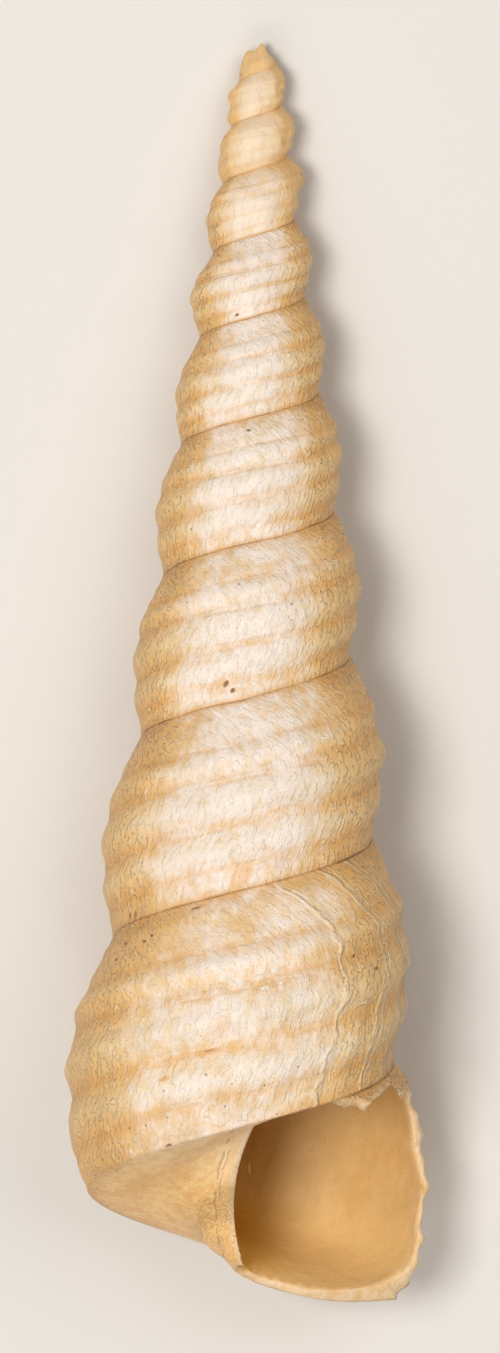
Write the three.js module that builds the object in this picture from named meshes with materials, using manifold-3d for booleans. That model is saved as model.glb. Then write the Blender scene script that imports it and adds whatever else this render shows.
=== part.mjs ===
// A fossil turret shell lying on its back with its mouth up.
//
// The shell is one solid, grown as a tube that coils round a straight axis and gets
// WHORL_RATIO times larger with each turn, so every whorl is the same form at another size.
// All sizes are millimetres, and those of a whorl are given where it passes the right side
// of the axis for the last time (turn 0). A place on a whorl is [drop, radius]: how far it
// lies below the suture along the axis, and how far from the axis.
//
// While it is built, the axis is y and the point that the cone runs to is the origin, with
// x to the right and z out of the mouth. At the end it is laid on the surface z = 0.
import * as THREE from 'three';
import { LoftGeometry } from 'three/addons/geometries/LoftGeometry.js';
import { ParametricGeometry } from 'three/addons/geometries/ParametricGeometry.js';
import { mergeGeometries, mergeVertices } from 'three/addons/utils/BufferGeometryUtils.js';
import Module from 'manifold-3d';

// Growth
const WHORL_RATIO = 1.2356;
const SUTURE_DISTANCE = 58.46;
const SUTURE_RADIUS = 7.6;
const COLUMNS_PER_TURN = 28;
const COLUMNS = 259;
const FIRST_FREE_COLUMN = COLUMNS - COLUMNS_PER_TURN;

// Outer wall of a whorl, from the suture down: cords stand out, grooves lie between them
const WALL = [
  [0, SUTURE_RADIUS],
  [0.81, 7.94],
  [1.44, 8.24],
  [2.72, 8.79],
  [4.03, 9.42],
  [4.6, 9.66],
  [5.64, 9.6],
  [6.46, 9.9],
  [7.29, 10.22],
  [8.41, 10.0],
  [9.55, 9.74],
  [10.42, 10.02],
  [11.6, 9.81],
  [12.64, 9.63],
];

// Where no later whorl covers it, the foot of the wall rounds inwards to the base
const FREE_FOOT = [
  [11.95, 9.5],
  [12.9, 9.25],
  [13.7, 8.75],
];
const FOOT_BLEND_COLUMNS = 3;

// Base of the last whorl, from its foot in to the axis, where it turns down into a pillar.
// Each row ends at its own angle on the lip and bends to it over its own number of columns.
const BASE = [
  { place: [14.02, 6.4], lip: -30, columns: 12 },
  { place: [14.2, 4.4], lip: -38, columns: 16 },
  { place: [14.9, 3.05], lip: -62, columns: 20 },
  { place: [15.8, 2.2], lip: -93, columns: 26 },
  { place: [16.4, 1.4], lip: -116, columns: 28 },
  { place: [16.65, 0.65], lip: -128, columns: 28 },
  { place: [16.75, 0], lip: -130, columns: 28 },
];

// Near the lip, the foot and the base rise towards the suture
const LIP_RISE = 0.6;
const LIP_RISE_COLUMNS = 8;

// Outer lip: it leaves the suture at LIP_TOP, swings back at once and then leans slowly back
const LIP_TOP = THREE.MathUtils.degToRad(53);
const LIP_SWING = THREE.MathUtils.degToRad(67);
const LIP_SWING_DROP = 1.1;
const LIP_LEAN_PER_MM = THREE.MathUtils.degToRad(0.95);
const LIP_COLUMNS = 12;

// Young whorls have deeper sutures, and the tip is worn thin and broken off
const DEEP_SUTURES_BELOW = 27;
const SUTURE_DEEPENING = 0.0111;
const WORN_BELOW = 11.5;
const TIP_WEAR = 0.0286;
const TIP = new THREE.Vector3(0.15, -7.75, 0);
const TIP_RINGS = 2;

// Hollow of the tube, a closed ring on the same [drop, radius] scale
const HOLLOW = [
  [3.0, 0.75],
  [0.9, 2.1],
  [0.2, 3.6],
  [0.1, 6.5],
  [0.9, 7.3],
  [1.8, 7.75],
  [3.5, 8.6],
  [5.7, 9.05],
  [7.5, 9.45],
  [9.6, 9.25],
  [10.8, 9.35],
  [11.75, 9.0],
  [12.45, 8.2],
  [12.75, 6.2],
  [12.35, 3.6],
  [11.7, 1.9],
  [10.2, 0.75],
];
const HOLLOW_START = THREE.MathUtils.degToRad(-330);
const HOLLOW_END = THREE.MathUtils.degToRad(66);
const HOLLOW_STEPS = 26;
const HOLLOW_ROUND_END = [0.45, 0.8, 0.95];

// Where the mouth's face, which the hollow is cut through, comes together
const MOUTH_MIDDLE = [7.3, 3.8];

// Inner lip: the bowed edge that the mouth has beside the pillar
const INNER_LIP_TOP = new THREE.Vector2(0.4, -61.75);
const INNER_LIP_BOW = new THREE.Vector2(-1.37, -65.5);
const INNER_LIP_FOOT = new THREE.Vector2(0.1, -69.15);
const INNER_LIP_REACH = 2.3;
const INNER_LIP_ABOVE = 0.7;
const INNER_LIP_BACK = -2.4;
const INNER_LIP_DEPTH = 7;
const INNER_LIP_SEGMENTS = 10;

// Rest: the cone's lowest line lies down, and the cords are worn flat where they touch
const LEAN = THREE.MathUtils.degToRad(8.8);
const WEAR_DEPTH = 0.22;

const TURN = 2 * Math.PI;
const WELD = 1e-4;

const wasm = await Module();
wasm.setup();

/** Puts `target` on the spiral: `angle` round the axis, at [drop, radius] of that whorl. */
function onShell(angle, [drop, radius], target) {
  const scale = WHORL_RATIO ** (angle / TURN);
  const distance = (SUTURE_DISTANCE + drop) * scale;
  return target.set(radius * scale * Math.cos(angle), -distance, radius * scale * Math.sin(angle));
}

/** Moves a point of the wall in to the axis: young whorls at their sutures, the tip all over. */
function drawnIn(point, nearSuture) {
  const distance = -point.y;
  const deepening = nearSuture * SUTURE_DEEPENING * Math.max(0, DEEP_SUTURES_BELOW - distance);
  const wear = TIP_WEAR * Math.max(0, WORN_BELOW - distance);
  const share = (1 - deepening) * (1 - wear);
  point.x *= share;
  point.z *= share;
  return point;
}

/** Angle of a column at the suture, where the columns are evenly spaced. */
function evenAngle(column) {
  return LIP_TOP + (TURN * (column - COLUMNS)) / COLUMNS_PER_TURN;
}

/** Angle of a column of the wall, which bends to the lip's own line near the lip. */
function columnAngle(column, drop) {
  const nearness = THREE.MathUtils.smoothstep(column, COLUMNS - LIP_COLUMNS, COLUMNS);
  const swing = LIP_SWING * (1 - Math.exp(-drop / LIP_SWING_DROP)) + LIP_LEAN_PER_MM * drop;
  return evenAngle(column) - swing * nearness;
}

/** [drop, radius] of a row of the wall, with its foot rounded where it is free. */
function wallPlace(column, row) {
  const place = WALL[row];
  const free = FREE_FOOT[row - (WALL.length + 1 - FREE_FOOT.length)];
  const bound = place ?? nextSuture();
  if (!free) return bound;
  const blended = FIRST_FREE_COLUMN + FOOT_BLEND_COLUMNS;
  const blend = THREE.MathUtils.smoothstep(column, FIRST_FREE_COLUMN, blended);
  const [drop, radius] = bound.map((value, i) => THREE.MathUtils.lerp(value, free[i], blend));
  return [row === WALL.length ? drop - lipRise(column) : drop, radius];
}

/** How far the foot and the base rise at a column. */
function lipRise(column) {
  return LIP_RISE * THREE.MathUtils.smoothstep(column, COLUMNS - LIP_RISE_COLUMNS, COLUMNS);
}

/** The suture of the next turn, on the scale of this one. */
function nextSuture() {
  return [SUTURE_DISTANCE * (WHORL_RATIO - 1), SUTURE_RADIUS * WHORL_RATIO];
}

/** Point of the outer wall. Row WALL.length is the foot, which is the next turn's suture. */
function wallPoint(column, row, target) {
  const place = wallPlace(column, row);
  onShell(columnAngle(column, place[0]), place, target);
  const nearSuture = Math.cos((Math.PI * row) / WALL.length) ** 2;
  return drawnIn(target, nearSuture);
}

/** Point of the base, with row 0 on the foot of the wall and the last row on the axis. */
function basePoint(column, row, target) {
  if (row === 0) return wallPoint(column, WALL.length, target);
  const { place, lip, columns } = BASE[row - 1];
  const nearness = THREE.MathUtils.smoothstep(column, COLUMNS - columns, COLUMNS);
  const swing = LIP_TOP - THREE.MathUtils.degToRad(lip);
  const [drop, radius] = place;
  const risen = [drop - lipRise(column), radius];
  return onShell(evenAngle(column) - swing * nearness, risen, target);
}

/** A grid of points as a surface: u runs down the rows, v back through the columns. */
function grid(firstColumn, lastColumn, rows, point) {
  const columns = lastColumn - firstColumn;
  const place = (u, v, target) => {
    point(lastColumn - Math.round(v * columns), Math.round(u * rows), target);
  };
  return new ParametricGeometry(place, rows, columns);
}

/** A dome from a ring of points, clockwise seen from outside, to a middle; one step is a fan. */
function closeRing(ring, middle, steps) {
  const place = (u, v, target) => {
    const quarter = (v * Math.PI) / 2;
    const from = ring[Math.round((1 - u) * (ring.length - 1))];
    const out = Math.cos(quarter);
    const up = Math.sin(quarter);
    target.set(
      middle.x + (from.x - middle.x) * out,
      from.y + (middle.y - from.y) * up,
      middle.z + (from.z - middle.z) * out,
    );
  };
  return new ParametricGeometry(place, ring.length - 1, steps);
}

/** The broken tip: its ring is the first turn's suture, closed by the first column. */
function tipCap() {
  const ring = [];
  for (let column = 0; column <= COLUMNS_PER_TURN; column++) {
    ring.push(wallPoint(column, 0, new THREE.Vector3()));
  }
  for (let row = WALL.length - 1; row >= 0; row--) {
    ring.push(wallPoint(0, row, new THREE.Vector3()));
  }
  return closeRing(ring, TIP, TIP_RINGS);
}

/** The mouth before it is hollowed: down the lip, along the base, up the axis and back. */
function mouthFace() {
  const ring = [];
  for (let row = 0; row <= WALL.length; row++) {
    ring.push(wallPoint(COLUMNS, row, new THREE.Vector3()));
  }
  for (let row = 1; row <= BASE.length; row++) {
    ring.push(basePoint(COLUMNS, row, new THREE.Vector3()));
  }
  for (let column = COLUMNS - 1; column >= FIRST_FREE_COLUMN; column--) {
    ring.push(basePoint(column, BASE.length, new THREE.Vector3()));
  }
  for (let row = BASE.length - 1; row >= 0; row--) {
    ring.push(basePoint(FIRST_FREE_COLUMN, row, new THREE.Vector3()));
  }
  return closeRing(ring, onShell(0, MOUTH_MIDDLE, new THREE.Vector3()), 1);
}

/** One closed surface from several: shared edges welded, flattened triangles left out. */
function weld(geometries) {
  for (const geometry of geometries) {
    geometry.deleteAttribute('normal');
    geometry.deleteAttribute('uv');
  }
  const welded = mergeVertices(mergeGeometries(geometries), WELD);
  const index = welded.getIndex().array;
  const kept = [];
  for (let i = 0; i < index.length; i += 3) {
    const [a, b, c] = index.slice(i, i + 3);
    if (a !== b && b !== c && c !== a) kept.push(a, b, c);
  }
  welded.setIndex(kept);
  return welded;
}

/** A closed geometry as a solid that can be joined and cut. */
function solid(...geometries) {
  const closed = weld(geometries);
  const mesh = new wasm.Mesh({
    numProp: 3,
    vertProperties: new Float32Array(closed.getAttribute('position').array),
    triVerts: new Uint32Array(closed.getIndex().array),
  });
  return new wasm.Manifold(mesh);
}

/** The whorls and base with nothing hollowed out. */
function outerForm() {
  const wall = grid(0, COLUMNS, WALL.length, wallPoint);
  const base = grid(FIRST_FREE_COLUMN, COLUMNS, BASE.length, basePoint);
  return solid(wall, base, tipCap(), mouthFace());
}

/** The space inside the last turn, with a rounded end deep in the shell. */
function hollow() {
  const sections = [];
  const middle = HOLLOW.reduce(([d, r], place) => [d + place[0], r + place[1]], [0, 0]);
  const centre = middle.map((sum) => sum / HOLLOW.length);
  for (let step = 0; step <= HOLLOW_STEPS; step++) {
    const share = HOLLOW_ROUND_END[step] ?? 1;
    const angle = THREE.MathUtils.lerp(HOLLOW_START, HOLLOW_END, step / HOLLOW_STEPS);
    const ring = HOLLOW.toReversed().map((place) => {
      const drawn = place.map((value, i) => THREE.MathUtils.lerp(centre[i], value, share));
      return onShell(angle, drawn, new THREE.Vector3());
    });
    sections.push(ring);
  }
  return solid(new LoftGeometry(sections, { capStart: true, capEnd: true }));
}

/** What the bowed inner lip leaves open beside the pillar. */
function innerLip() {
  const outline = new THREE.Shape();
  outline.moveTo(INNER_LIP_TOP.x, INNER_LIP_TOP.y);
  outline.quadraticCurveTo(INNER_LIP_BOW.x, INNER_LIP_BOW.y, INNER_LIP_FOOT.x, INNER_LIP_FOOT.y);
  outline.lineTo(INNER_LIP_REACH, INNER_LIP_FOOT.y);
  outline.lineTo(INNER_LIP_REACH, INNER_LIP_TOP.y + INNER_LIP_ABOVE);
  const cutter = new THREE.ExtrudeGeometry(outline, {
    depth: INNER_LIP_DEPTH,
    bevelEnabled: false,
    curveSegments: INNER_LIP_SEGMENTS,
  });
  cutter.translate(0, 0, INNER_LIP_BACK);
  return solid(cutter);
}

/** Everything under the surface that the shell lies on, in the frame it is built in. */
function underTheSurface() {
  const size = 2 * SUTURE_DISTANCE;
  const ground = new THREE.BoxGeometry(size, 2 * size, size);
  ground.translate(0, 0, -size / 2 + WEAR_DEPTH);
  ground.rotateX(LEAN);
  return solid(ground);
}

/** A finished solid as three.js geometry. */
function toGeometry(manifold) {
  const { vertProperties, triVerts } = manifold.getMesh();
  const geometry = new THREE.BufferGeometry();
  geometry.setAttribute('position', new THREE.BufferAttribute(vertProperties, 3));
  geometry.setIndex(new THREE.BufferAttribute(triVerts, 1));
  return geometry;
}

function turritellaShell() {
  const whole = outerForm().subtract(hollow()).subtract(innerLip());
  const geometry = toGeometry(whole.subtract(underTheSurface()));
  geometry.rotateX(-LEAN);
  geometry.computeBoundingBox();
  const middle = geometry.boundingBox.getCenter(new THREE.Vector3());
  geometry.translate(-middle.x, -middle.y, -geometry.boundingBox.min.z);
  const shell = new THREE.MeshStandardMaterial({ color: 0xe6c49a, roughness: 0.75, metalness: 0 });
  const mesh = new THREE.Mesh(geometry, shell);
  mesh.name = 'turritella_shell';
  return mesh;
}

const group = new THREE.Group();
group.add(turritellaShell());

export default group;
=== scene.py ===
"""Looks of a fossil turret shell that lies on its back with its mouth up.

The shell is shaped in its own frame, in millimetres: the axis is y, the point that the cone
runs to is the origin, x points right and z out of the mouth. A place on the outer wall is a
turn (0 is where the growing edge passes the right side for the last time) and a share of the
whorl's height, from 0 at the suture above it to 1 at the next suture. The finished mesh is
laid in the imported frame, in metres.
"""

import logging
import math
from collections.abc import Sequence
from dataclasses import dataclass, field
from enum import Enum

import bmesh
import bpy
from mathutils import Matrix, Vector, noise

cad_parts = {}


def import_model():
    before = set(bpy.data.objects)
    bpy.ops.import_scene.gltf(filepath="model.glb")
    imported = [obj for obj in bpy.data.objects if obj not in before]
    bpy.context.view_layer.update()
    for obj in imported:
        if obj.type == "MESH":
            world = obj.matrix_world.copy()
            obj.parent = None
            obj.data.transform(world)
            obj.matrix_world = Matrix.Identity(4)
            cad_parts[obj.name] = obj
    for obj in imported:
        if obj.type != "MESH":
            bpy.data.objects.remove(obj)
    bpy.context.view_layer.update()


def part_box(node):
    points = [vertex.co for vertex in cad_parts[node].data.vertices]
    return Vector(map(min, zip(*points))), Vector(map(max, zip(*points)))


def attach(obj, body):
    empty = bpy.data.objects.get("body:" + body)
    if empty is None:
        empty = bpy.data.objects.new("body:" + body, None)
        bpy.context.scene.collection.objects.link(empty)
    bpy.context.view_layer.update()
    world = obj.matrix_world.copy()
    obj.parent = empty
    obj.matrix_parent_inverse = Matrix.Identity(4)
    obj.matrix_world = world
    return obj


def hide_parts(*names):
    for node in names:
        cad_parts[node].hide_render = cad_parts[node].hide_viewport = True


LOG = logging.getLogger("turritella")
NODE = "turritella_shell"
MM = 0.001
TURN = 2 * math.pi
DEGREES = 360
CAD_COLUMNS = 28
WELD = 0.001

Pair = tuple[float, float]
Triple = tuple[float, float, float]
Colour = Triple
Mesh = bmesh.types.BMesh
Edges = list[bmesh.types.BMEdge]
Faces = list[bmesh.types.BMFace]
Socket = bpy.types.NodeSocket
Sockets = dict[str, Socket]
Feed = Socket | tuple[float, ...] | float
Group = tuple[bpy.types.NodeTree, bpy.types.Node, bpy.types.Node]


def blend(low: float, high: float, share: float) -> float:
    """Returns the value `share` of the way from `low` to `high`."""
    return low + (high - low) * share


def ease(value: float, low: float, high: float) -> float:
    """Returns how far `value` is from `low` to `high`, held to 0 to 1 and eased at both ends."""
    share = min(1.0, max(0.0, (value - low) / (high - low)))
    return share * share * (3 - 2 * share)


def hill(distance: float, width: float) -> float:
    """Returns 1 at no distance, falling to a third at `width` on a bell curve."""
    return math.exp(-((distance / width) ** 2))


def bowed(top: Vector, bow: Vector, foot: Vector, share: float) -> Vector:
    """Returns the point at a share of the way down a bow that three points draw."""
    return top * (1 - share) ** 2 + bow * 2 * share * (1 - share) + foot * share**2


def round_axis(turn: float, share: float, rise: float) -> Vector:
    """Returns a place for noise that joins up round the axis and changes by `rise` a whorl."""
    angle = TURN * turn
    return Vector((math.cos(angle), math.sin(angle), (turn + share) * rise))


def through(points: Sequence[tuple[float, ...]], place: float, closed: bool = False) -> list[float]:
    """Follows a smooth curve through points.

    Args:
        points: the points, all with as many numbers.
        place: 0 at the first point, 1 at the second and so on.
        closed: whether the curve runs on from the last point to the first.

    Returns:
        The curve's point at that place.
    """
    count = len(points)
    last = count if closed else count - 1
    first = min(int(place), last - 1)
    share = place - first

    def at(index: int) -> tuple[float, ...]:
        """Returns a point, past the ends too."""
        return points[index % count] if closed else points[min(max(index, 0), count - 1)]

    result = []
    for a, b, c, d in zip(at(first - 1), at(first), at(first + 1), at(first + 2)):
        curved = share * (2 * a - 5 * b + 4 * c - d + share * (3 * (b - c) + d - a))
        result.append(b + 0.5 * share * (c - a + curved))
    return result


@dataclass(frozen=True)
class Growth:
    """The spiral that the shell grows on, and how young whorls differ from later ones."""

    ratio: float = 1.2356
    distance: float = 58.46
    suture_radius: float = 7.6
    first_turn: float = -9.086
    lip_turn: float = 53 / DEGREES
    deep_sutures_below: float = 27.0
    suture_deepening: float = 0.0111
    worn_below: float = 11.5
    tip_wear: float = 0.0286
    young: Pair = (-17.0, -13.5)
    steepness: float = 2.0
    young_steepness: float = 6.0

    def scale(self, turn: float) -> float:
        """Returns the size of the whorl at a turn, against the one at turn 0."""
        return self.ratio**turn

    def drop_of(self, share: float) -> float:
        """Returns how many mm below the suture a share of the whorl's height is."""
        return self.distance * (self.ratio**share - 1)

    def point(self, turn: float, drop: float, radius: float) -> Vector:
        """Returns the point at a turn whose drop and radius are those of the whorl at turn 0."""
        scale = self.scale(turn)
        angle = TURN * turn
        out = radius * scale
        return Vector((out * math.cos(angle), -(self.distance + drop) * scale, out * math.sin(angle)))

    def draw_in(self, point: Vector, share: float) -> Vector:
        """Narrows the young whorls at their sutures and the worn tip all round.

        Args:
            point: a point of the wall, which is moved.
            share: its share of the whorl's height.

        Returns:
            The moved point.
        """
        steepness = blend(self.steepness, self.young_steepness, ease(point.y, *self.young))
        near = abs(math.cos(math.pi * share)) ** steepness
        deepening = near * self.suture_deepening * max(0.0, self.deep_sutures_below + point.y)
        wear = self.tip_wear * max(0.0, self.worn_below + point.y)
        narrow = (1 - deepening) * (1 - wear)
        point.x *= narrow
        point.z *= narrow
        return point


@dataclass(frozen=True)
class Cord:
    """A spiral cord: its share of the whorl's height, its height over the distance, its width."""

    share: float
    height: float
    width: float


@dataclass(frozen=True)
class Dent:
    """A shallow dent or swelling of the wall.

    Its height is a turn and a share together, its angle a share of a turn from the right side,
    and its depth a share of the radius, below nothing for a dent.
    """

    height: float
    angle: float
    depth: float
    height_width: float
    angle_width: float

    def at(self, turn: float, height: float) -> float:
        """Returns the dent's depth at a place of the wall."""
        round_by = turn - self.angle
        away = abs(round_by - round(round_by))
        return self.depth * hill(height - self.height, self.height_width) * hill(away, self.angle_width)


@dataclass(frozen=True)
class Whorl:
    """Form of one whorl's wall: a low arch with three cords, and a crack at the suture.

    Sizes are shares of the distance from the cone's point. A swell is a height, given as turn
    and share together, and how full the shell is there.
    """

    foot: float = 0.1292
    arch: Triple = (0.0172, 0.0048, -0.0010)
    cords: tuple[Cord, ...] = (
        Cord(0.317, 0.0044, 0.055),
        Cord(0.557, 0.0096, 0.094),
        Cord(0.777, 0.0097, 0.100),
    )
    cord_change: float = 0.12
    cord_beat: float = 2.3
    cord_noise: Pair = (4.0, 0.5)
    threads: Triple = (0.09, 0.18, 0.91)
    thread_height: float = 0.0007
    thread_width: float = 0.022
    swells: tuple[Pair, ...] = (
        (-9.5, 1.0),
        (-4.5, 1.0),
        (-3.5, 1.014),
        (-3.0, 1.012),
        (-2.5, 1.008),
        (-2.0, 0.990),
        (-1.5, 1.0),
        (2.0, 1.0),
    )
    dents: tuple[Dent, ...] = (
        Dent(-0.45, 0.0, -0.02, 0.28, 0.16),
        Dent(-0.05, 0.0, -0.034, 0.16, 0.12),
        Dent(0.10, 0.5, -0.014, 0.10, 0.10),
        Dent(-6.55, 0.0, 0.13, 0.050, 0.026),
        Dent(-6.70, 0.0, 0.10, 0.11, 0.024),
        Dent(-6.36, 0.0, -0.07, 0.10, 0.09),
        Dent(-8.25, 0.0, -0.10, 0.12, 0.15),
        Dent(-7.75, 0.0, 0.06, 0.10, 0.15),
        Dent(-7.25, 0.0, -0.06, 0.12, 0.15),
        Dent(-7.95, 0.5, -0.15, 0.20, 0.20),
        Dent(-6.95, 0.5, -0.11, 0.22, 0.20),
        Dent(-6.0, 0.5, -0.04, 0.20, 0.20),
        Dent(-4.95, 0.5, 0.04, 0.30, 0.20),
    )
    young: Pair = (-5.9, -7.1)
    young_fullness: float = 0.0125
    young_arch: float = 0.55
    young_cords: float = 0.92
    lip_from: Pair = (-0.36, -0.12)
    lip_cords: float = 0.42
    lip_fullness: float = 0.0022
    scallops: float = 10.5
    scallop_shift: float = -0.3
    scallop_height: float = 0.0030
    scallop_mean: float = 0.4
    scallops_from: Pair = (-0.16, -0.08)
    edge: float = 0.05
    crack_depth: float = 0.0007
    crack_width: float = 0.006

    def swell(self, height: float) -> float:
        """Returns how much fuller the shell is at a height."""
        for (low, narrow), (high, wide) in zip(self.swells, self.swells[1:]):
            if height <= high:
                return blend(narrow, wide, ease(height, low, high))
        return 1.0

    def radius_share(self, turn: float, share: float) -> float:
        """Gives the wall's radius as a share of the distance from the cone's point.

        Args:
            turn: the turn.
            share: share of the whorl's height.

        Returns:
            The radius over the distance.
        """
        youth = ease(turn + share, *self.young)
        near_lip = ease(turn, *self.lip_from)
        radius = self.foot + self.young_fullness * youth * (1 - abs(2 * share - 1) ** 4)
        radius += self.lip_fullness * near_lip * math.sin(math.pi * share)
        for order, size in enumerate(self.arch, start=1):
            radius += size * (1 - self.young_arch * youth) * math.sin(order * math.pi * share)
        strength = 1 + self.cord_change * noise.noise(Vector((turn * self.cord_beat, *self.cord_noise)))
        strength *= (1 - self.young_cords * youth) * (1 - self.lip_cords * near_lip)
        edge = ease(share, 0, self.edge) * ease(1 - share, 0, self.edge)
        for cord in self.cords:
            radius += cord.height * strength * edge * hill(share - cord.share, cord.width)
        for thread in self.threads:
            radius += self.thread_height * strength * edge * hill(share - thread, self.thread_width)
        wave = abs(math.sin(math.pi * (share * self.scallops + self.scallop_shift))) ** 3
        scalloped = self.scallop_height * ease(turn, *self.scallops_from)
        radius += scalloped * edge * (wave - self.scallop_mean)
        dents = sum(dent.at(turn, turn + share) for dent in self.dents)
        return radius * (self.swell(turn + share) + dents)

    def crack(self, share: float) -> float:
        """Returns how deep the crack of the suture is."""
        nearest = min(share, abs(1 - share))
        return self.crack_depth * max(0.0, 1 - nearest / self.crack_width)


@dataclass(frozen=True)
class Foot:
    """Where no later whorl covers it, the foot of the wall rounds inwards to the base."""

    drop: float = 13.78
    radius: float = 8.9
    begins: float = 0.86
    lip_rise: float = 0.49
    lip_rise_turns: float = 0.3
    blend_turns: float = 3 / CAD_COLUMNS


@dataclass(frozen=True)
class BaseRow:
    """A line of the base: its drop and radius, and the degree at which it ends on the lip."""

    drop: float
    radius: float
    lip: float
    bend: float


@dataclass(frozen=True)
class Lip:
    """Edge of the outer lip: a broken tooth hangs at the suture, and the rest lies farther back.

    The line gives how many degrees back the edge lies at each drop.
    """

    line: tuple[Pair, ...] = (
        (0.0, 0),
        (0.15, 6.5),
        (0.42, 10),
        (0.7, 13),
        (0.88, 22),
        (1.0, 33),
        (1.3, 50),
        (1.75, 64),
        (2.6, 70.5),
        (4.2, 73.5),
        (6.6, 75),
        (7.25, 73.5),
        (7.9, 75.5),
        (9.2, 75.5),
        (9.8, 74.5),
        (10.4, 75.5),
        (11.6, 76.5),
        (12.4, 78),
        (13.4, 80),
    )
    bend: float = 12 / CAD_COLUMNS

    def turned_back(self, drop: float) -> float:
        """Returns how many turns behind the top of the lip its edge is at a drop."""
        for index, ((low, _), (high, _)) in enumerate(zip(self.line, self.line[1:])):
            if drop <= high or high == self.line[-1][0]:
                place = index + min(1.0, (drop - low) / (high - low))
                return through(self.line, place)[1] / DEGREES
        return 0.0


@dataclass(frozen=True)
class GrowthLine:
    """The curve of a growth line across the whorl, in turns behind its start at the suture."""

    depth: float = 0.068
    deepest: float = 0.45
    foot: float = 0.036
    end: float = 1.1

    def lag(self, share: float) -> float:
        """Returns how many turns the line lags at a share of the whorl's height."""
        if share < self.deepest:
            return self.depth * (1 - (1 - share / self.deepest) ** 2)
        return blend(self.depth, self.foot, ease(share, self.deepest, self.end))


@dataclass(frozen=True)
class Unevenness:
    """Small unevenness of the wall: heights in mm on the whorl at turn 0, and beats of noise.

    The beats of wrinkles and ripples run along the growth, down the whorl and round the turn.
    """

    edge: float = 0.07
    lumps: float = 0.06
    tip_lumps: float = 0.55
    lump_rise: float = 1.2
    lump_beat: float = 2.2
    lump_fractal: tuple[float, float, int] = (0.8, 2.0, 3)
    wrinkle: float = 0.04
    wrinkle_beats: Triple = (38.0, 1.3, 3.0)
    ripple: float = 0.085
    ripple_beats: Triple = (75.0, 6.0, 5.0)
    ripple_shift: float = 7.0
    thread: float = 0.10
    thread_beats: Pair = (17.0, 1.7)
    thread_noise: float = 2.0
    worn_turns: Pair = (-5.6, -7.2)

    def at(self, turn: float, share: float, line: float, row: float) -> float:
        """Gives the unevenness at a place of the wall.

        Args:
            turn: the turn.
            share: share of the whorl's height.
            line: the place among the growth lines.
            row: the row, from 0 to 1, at whose ends it fades out.

        Returns:
            The height in mm on the whorl at turn 0.
        """
        edge = ease(row, 0, self.edge) * ease(1 - row, 0, self.edge)
        lumps = noise.fractal(round_axis(turn, share, self.lump_rise) * self.lump_beat, *self.lump_fractal)
        along, down, round_by = self.wrinkle_beats
        wrinkle = noise.noise(Vector((line * along, share * down, turn * round_by)))
        along, down, round_by = self.ripple_beats
        ripple = noise.noise(Vector((line * along, share * down, turn * round_by + self.ripple_shift)))
        down, round_by = self.thread_beats
        thread = noise.noise(Vector((share * down, turn * round_by, self.thread_noise)))
        worn_tip = ease(turn, *self.worn_turns)
        fine = self.wrinkle * wrinkle + self.ripple * ripple + self.thread * thread * (1 - worn_tip)
        return edge * ((self.lumps + self.tip_lumps * worn_tip) * lumps + fine)


class Part(Enum):
    """The surfaces of the shell, which are the material slots of its mesh."""

    WALL = 0
    MOUTH = 1
    EDGE = 2


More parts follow.
